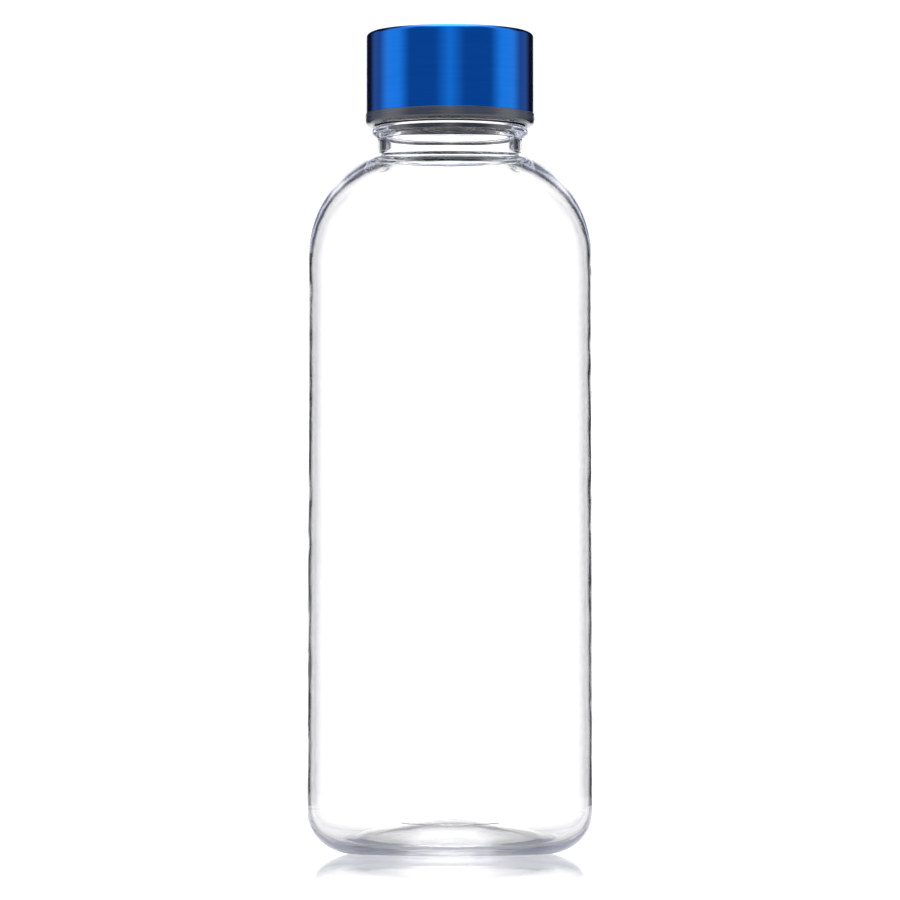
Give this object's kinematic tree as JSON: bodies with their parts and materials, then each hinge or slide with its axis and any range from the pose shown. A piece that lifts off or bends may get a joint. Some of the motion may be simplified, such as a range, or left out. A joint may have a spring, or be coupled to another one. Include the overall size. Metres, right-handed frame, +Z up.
{
  "type": "screw-cap water bottle",
  "caption": "Tall clear rigid water bottle with a domed shoulder, short neck and support ring, closed by a blue metal-clad screw cap with a smoke-grey plastic collar.",
  "frame": {"origin": "middle of the base, on the surface that the bottle stands on", "axes": "+Z up along the bottle's axis, from the base to the cap"},
  "size_m": [0.072, 0.072, 0.206],
  "materials": {
    "clear_plastic": "clear, colourless, polished by the mould",
    "silicone": "matte, off-white silicone",
    "smoke_plastic": "smoke-grey, slightly translucent, moulded",
    "blue_metal": "blue anodised, brushed round the cap"
  },
  "bodies": {
    "vessel": {"bottle": "clear_plastic"},
    "gasket": {"seal_ring": "silicone"},
    "closure": {"inner_cap": "smoke_plastic", "cap_shell": "blue_metal"}
  },
  "joints": [
    {"name": "cap_rise", "type": "slide", "parent": "vessel", "child": "gasket", "axis": [0, 0, 1], "range_m": [0, 0.02701]},
    {"name": "cap_turn", "type": "hinge", "parent": "gasket", "child": "closure", "pos_m": [0, 0, 0.2025], "axis": [0, 0, 1], "range_deg": [0, 1080]}
  ],
  "couplings": [
    {"joint": "cap_rise", "follows": "cap_turn", "m_per_rad": 0.0014324}
  ]
}
